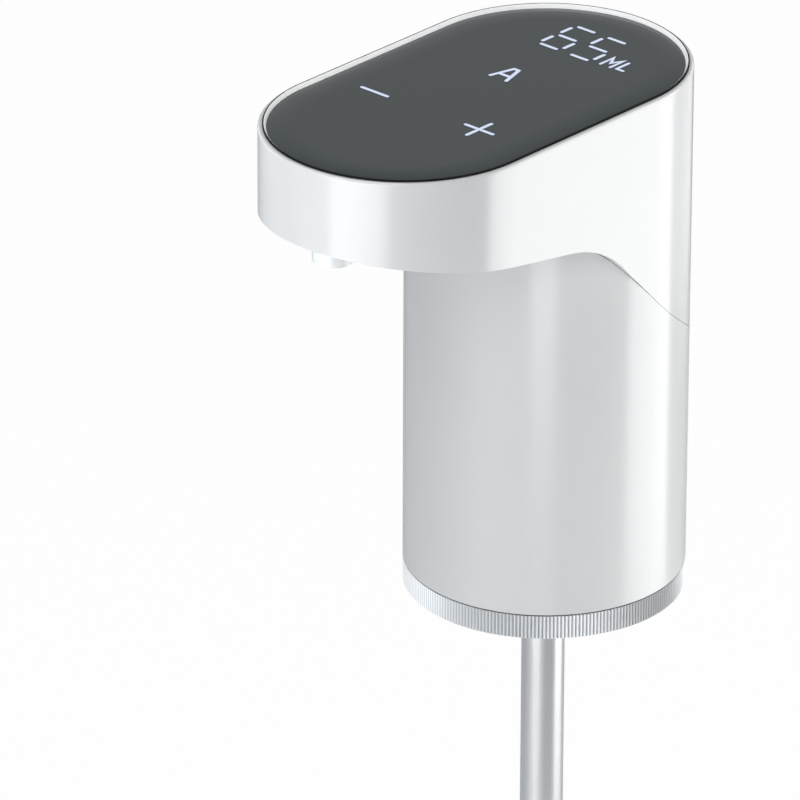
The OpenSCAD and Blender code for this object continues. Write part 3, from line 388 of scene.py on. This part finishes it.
# lit legends on the panel, in millimetres on its top face: strokes run along X and Y
legends = {
    "height": 0.04,
    "haloHeight": 0.015,
    "halo": 0.55,  # how much wider than the stroke
    "segment": 0.72,  # widths of the strokes
    "letter": 0.6,
    "sign": 0.72,
    "mitre": 0.35,  # the least cosine at a corner
    "capSteps": 6,
    "rows": (4.5, 9.6, 14.7),
    "digits": (-4.1, 3.2),
    "across": 5.1,
    "bar": 3.55,
    "upright": 2.5,
    "lit": ("afgecd", "afgcd"),
    "unit": [[(7.9, 4.9), (7.9, 8.5), (9.05, 6.4), (10.2, 8.5), (10.2, 4.9)],
             [(11.5, 8.5), (11.5, 5.2), (13.0, 5.2)]],
    "auto": [[(-3.2, -12.2), (-1.9, -7.3), (-0.8, -7.3), (0.6, -12.2)], [(-2.45, -10.5), (-0.3, -10.5)]],
    "minus": [[(-16.4, -31.7), (-10.3, -31.7)]],
    "plus": [[(8.1, -31.3), (14.5, -31.3)], [(11.3, -34.5), (11.3, -31.9)], [(11.3, -30.7), (11.3, -28.1)]],
}


# a line of points drawn with a pen of some width: mitred corners and round ends
def strokeOutline(points, width):
    points = [Vector(p) for p in points]
    sides = {1: [], -1: []}
    for i, point in enumerate(points):
        before = (point - points[i - 1]).normalized() if i else None
        after = (points[i + 1] - point).normalized() if i < len(points) - 1 else None
        for side, line in sides.items():
            if before is None or after is None:
                along = after or before
                turn = Vector((-along.y, along.x)) * side * width / 2
                line.append(point + turn)
                continue
            middle = (before + after).normalized()
            reach = width / 2 / max(legends["mitre"], middle.dot(after))
            line.append(point + Vector((-middle.y, middle.x)) * side * reach)
    steps = legends["capSteps"]
    caps = []
    for end, along in ((points[-1], points[-1] - points[-2]), (points[0], points[0] - points[1])):
        start = math.atan2(along.y, along.x) + math.pi / 2
        caps.append([end + Vector((math.cos(start - a), math.sin(start - a))) * width / 2
                     for a in (math.pi / steps * k for k in range(1, steps))])
    return sides[1] + caps[0] + sides[-1][::-1] + caps[1]


def strokeMesh(name, strokes, base, height):
    mesh = bpy.data.meshes.new(name)
    shape = bmesh.new()
    for points, width in strokes:
        outline = strokeOutline(points, width)
        low = [shape.verts.new((p.x * mm, p.y * mm, base)) for p in outline]
        high = [shape.verts.new((p.x * mm, p.y * mm, base + height)) for p in outline]
        shape.faces.new(low)
        shape.faces.new(high)
        for k in range(len(outline)):
            j = (k + 1) % len(outline)
            shape.faces.new((low[k], low[j], high[j], high[k]))
    bmesh.ops.recalc_face_normals(shape, faces=shape.faces)
    bmesh.ops.triangulate(shape, faces=[f for f in shape.faces if len(f.verts) > 4])
    shape.to_mesh(mesh)
    shape.free()
    return mesh


# seven-segment digit: bars a, g, d from the top down, uprights f and e on the left, b and c on the right
def digitStrokes(centre, lit):
    low, middle, high = legends["rows"]
    upper = high + middle
    lower = middle + low
    halfBar = legends["bar"] / 2
    halfWide = legends["across"] / 2
    halfUp = legends["upright"] / 2
    bars = {"a": high, "g": middle, "d": low}
    uprights = {"f": (-1, upper), "b": (1, upper), "e": (-1, lower), "c": (1, lower)}
    strokes = []
    for mark in lit:
        if mark in bars:
            strokes.append([(centre - halfBar, bars[mark]), (centre + halfBar, bars[mark])])
        else:
            side, rows = uprights[mark]
            x = centre + side * halfWide
            strokes.append([(x, rows / 2 - halfUp), (x, rows / 2 + halfUp)])
    return strokes


def makeLegends():
    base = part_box("touch_panel")[1].z
    height = legends["height"] * mm
    haloHeight = legends["haloHeight"] * mm
    digits = [(s, legends["segment"]) for c, lit in zip(legends["digits"], legends["lit"])
              for s in digitStrokes(c, lit)]
    groups = {
        "legend_digits": digits,
        "legend_unit": [(s, legends["letter"]) for s in legends["unit"]],
        "legend_auto": [(s, legends["sign"]) for s in legends["auto"]],
        "legend_minus": [(s, legends["sign"]) for s in legends["minus"]],
        "legend_plus": [(s, legends["sign"]) for s in legends["plus"]],
    }
    for name, strokes in groups.items():
        addPiece(name, strokeMesh(name, strokes, base, height), legendGlow, "housing")
        # a wider, thinner copy under each legend: painted glow, the legend's light spilling onto the panel
        edge = name.replace("legend", "halo")
        wide = [(points, width + legends["halo"]) for points, width in strokes]
        addPiece(edge, strokeMesh(edge, wide, base, haloHeight), legendGlowSpill, "housing")
    print("legends:", 2 * len(groups), "pieces")


makeLegends()

# studio: white sweep under the tube's full reach and soft boxes all round.
# a box leaves out the nodes in "misses", or lights those in "only" alone
studio = {
    "floorDrop": 0.14,
    "floorSize": 14.0,
    "floorSides": 96,
    "floorWhite": 0.98,
    "floorRough": 0.9,
    "floorCloud": 0.8,
    "floorLow": (0.84, 0.84, 0.84),
    "floorHigh": (0.88, 0.88, 0.88),
    "ambient": 0.03,
    "mirrored": 0.69,
    "aim": (0, -0.02, 0.03),
    "colour": (1.0, 1.0, 1.0),
    "misses": ["touch_panel"],
    "boxes": [
        {"name": "frontBox", "azimuth": -12, "height": 0.1, "away": 0.75, "size": (1.1, 0.9), "power": 1.8,
         "colour": (0.94, 0.97, 1.0)},
        {"name": "keyBox", "azimuth": 6, "height": 0.1, "away": 0.7, "size": (0.6, 0.9), "power": 4.6,
         "colour": (0.98, 0.99, 1.0), "misses": ["touch_panel", "column_shell"]},
        {"name": "columnBox", "azimuth": 39, "height": 0.1, "away": 0.7, "size": (0.25, 0.9), "power": 2.3,
         "only": ["column_shell"]},
        {"name": "sideBox", "azimuth": 132, "height": 0.05, "away": 0.55, "size": (0.5, 0.9), "power": 4.25,
         "misses": ["touch_panel", "column_shell", "knurled_ring"]},
        {"name": "columnSide", "azimuth": 132, "height": 0.05, "away": 0.55, "size": (0.5, 0.9),
         "power": 3.55, "only": ["column_shell", "knurled_ring"]},
        {"name": "backBox", "azimuth": 178, "height": 0.0, "away": 0.75, "size": (0.6, 0.9), "power": 1.35},
        {"name": "leftBox", "azimuth": -88, "height": 0.0, "away": 0.9, "size": (0.9, 0.9), "power": 1.85,
         "colour": (0.84, 0.9, 1.0)},
        {"name": "topBox", "azimuth": -40, "height": 0.85, "away": 0.35, "size": (0.7, 0.7), "power": 3.4,
         "misses": []},
        {"name": "highBox", "azimuth": 46, "height": 0.62, "away": 0.62, "size": (0.4, 0.3), "power": 1.15,
         "misses": ["touch_panel", "hood", "knurled_ring"]},
    ],
}


# the sweep: white where the camera sees it, clear from below
def makeFloor():
    low = cadBox[0].z - studio["floorDrop"]
    radius = studio["floorSize"] / 2
    mesh = bpy.data.meshes.new("sweep")
    shape = bmesh.new()
    bmesh.ops.create_circle(shape, cap_ends=True, segments=studio["floorSides"], radius=radius)
    bmesh.ops.translate(shape, verts=shape.verts, vec=(0, 0, low))
    shape.to_mesh(mesh)
    shape.free()
    floor = bpy.data.objects.new("sweep", mesh)
    bpy.context.scene.collection.objects.link(floor)
    paint = Paint("sweep_white", Roughness=studio["floorRough"])
    cloud = paint.noise(studio["floorCloud"])
    paint.set(Base_Color=paint.mix(cloud, studio["floorLow"], studio["floorHigh"]))
    light = paint.add("ShaderNodeLightPath", out="Is Camera Ray")
    under = paint.add("ShaderNodeNewGeometry", out="Backfacing")
    glow = paint.add("ShaderNodeEmission", {}, {"Color": (1, 1, 1), "Strength": 1.0})
    lit = paint.add("ShaderNodeMixShader", {}, {0: light * studio["floorWhite"], 1: paint.body, 2: glow})
    clear = paint.add("ShaderNodeBsdfTransparent")
    paint.show(paint.add("ShaderNodeMixShader", {}, {0: under, 1: lit, 2: clear}))
    mesh.materials.append(paint.block)


# the room: white where it is seen, a little darker where it is mirrored, dim as a light
def makeRoom():
    room = Paint("room", world=True, Color=(1, 1, 1))
    bpy.context.scene.world = room.block
    camera = room.add("ShaderNodeLightPath", out="Is Camera Ray")
    glossy = room.add("ShaderNodeLightPath", out="Is Glossy Ray")
    through = room.add("ShaderNodeLightPath", out="Is Transmission Ray")
    plain = room.level(glossy, studio["ambient"], studio["mirrored"])
    room.set(Strength=room.level(camera + through, plain, 1.0))


# a flag before a soft box: some nodes are kept out of its light, or only some are lit
def flagLight(holder, names, state):
    if not names:
        return
    flag = bpy.data.collections.new(holder.name + "_flag")
    for name in names:
        flag.objects.link(nodes[name])
    for member in flag.collection_objects:
        member.light_linking.link_state = state
    holder.light_linking.receiver_collection = flag


def makeLights():
    for box in studio["boxes"]:
        lamp = bpy.data.lights.new(box["name"], "AREA")
        lamp.shape = "RECTANGLE"
        lamp.size, lamp.size_y = box["size"]
        lamp.energy = box["power"]
        lamp.color = box.get("colour", studio["colour"])
        holder = bpy.data.objects.new(box["name"], lamp)
        bpy.context.scene.collection.objects.link(holder)
        turn = math.radians(box["azimuth"])
        holder.location = (math.sin(turn) * box["away"], -math.cos(turn) * box["away"], box["height"])
        aim = Vector(studio["aim"]) - holder.location
        holder.rotation_euler = aim.to_track_quat("-Z", "Y").to_euler()
        holder.visible_camera = False
        if "only" in box:
            flagLight(holder, box["only"], "INCLUDE")
        else:
            flagLight(holder, box.get("misses", studio["misses"]), "EXCLUDE")
    print("studio set:", len(studio["boxes"]), "lights")


makeFloor()
makeRoom()
makeLights()

# camera at the photograph's place: a long lens from the front right, above
shot = {
    "place": (1.00906, -1.14503, 0.74570),
    "angles": (64.368, -0.1668, 42.4649),
    "lens": 417.73,
    "farClip": 50,
}
camera = bpy.data.objects.new("camera", bpy.data.cameras.new("camera"))
bpy.context.scene.collection.objects.link(camera)
camera.location = shot["place"]
camera.rotation_euler = [math.radians(a) for a in shot["angles"]]
camera.data.lens = shot["lens"]
camera.data.clip_end = shot["farClip"]
bpy.context.scene.camera = camera
bpy.context.scene.view_settings.view_transform = "Standard"
print("camera set")
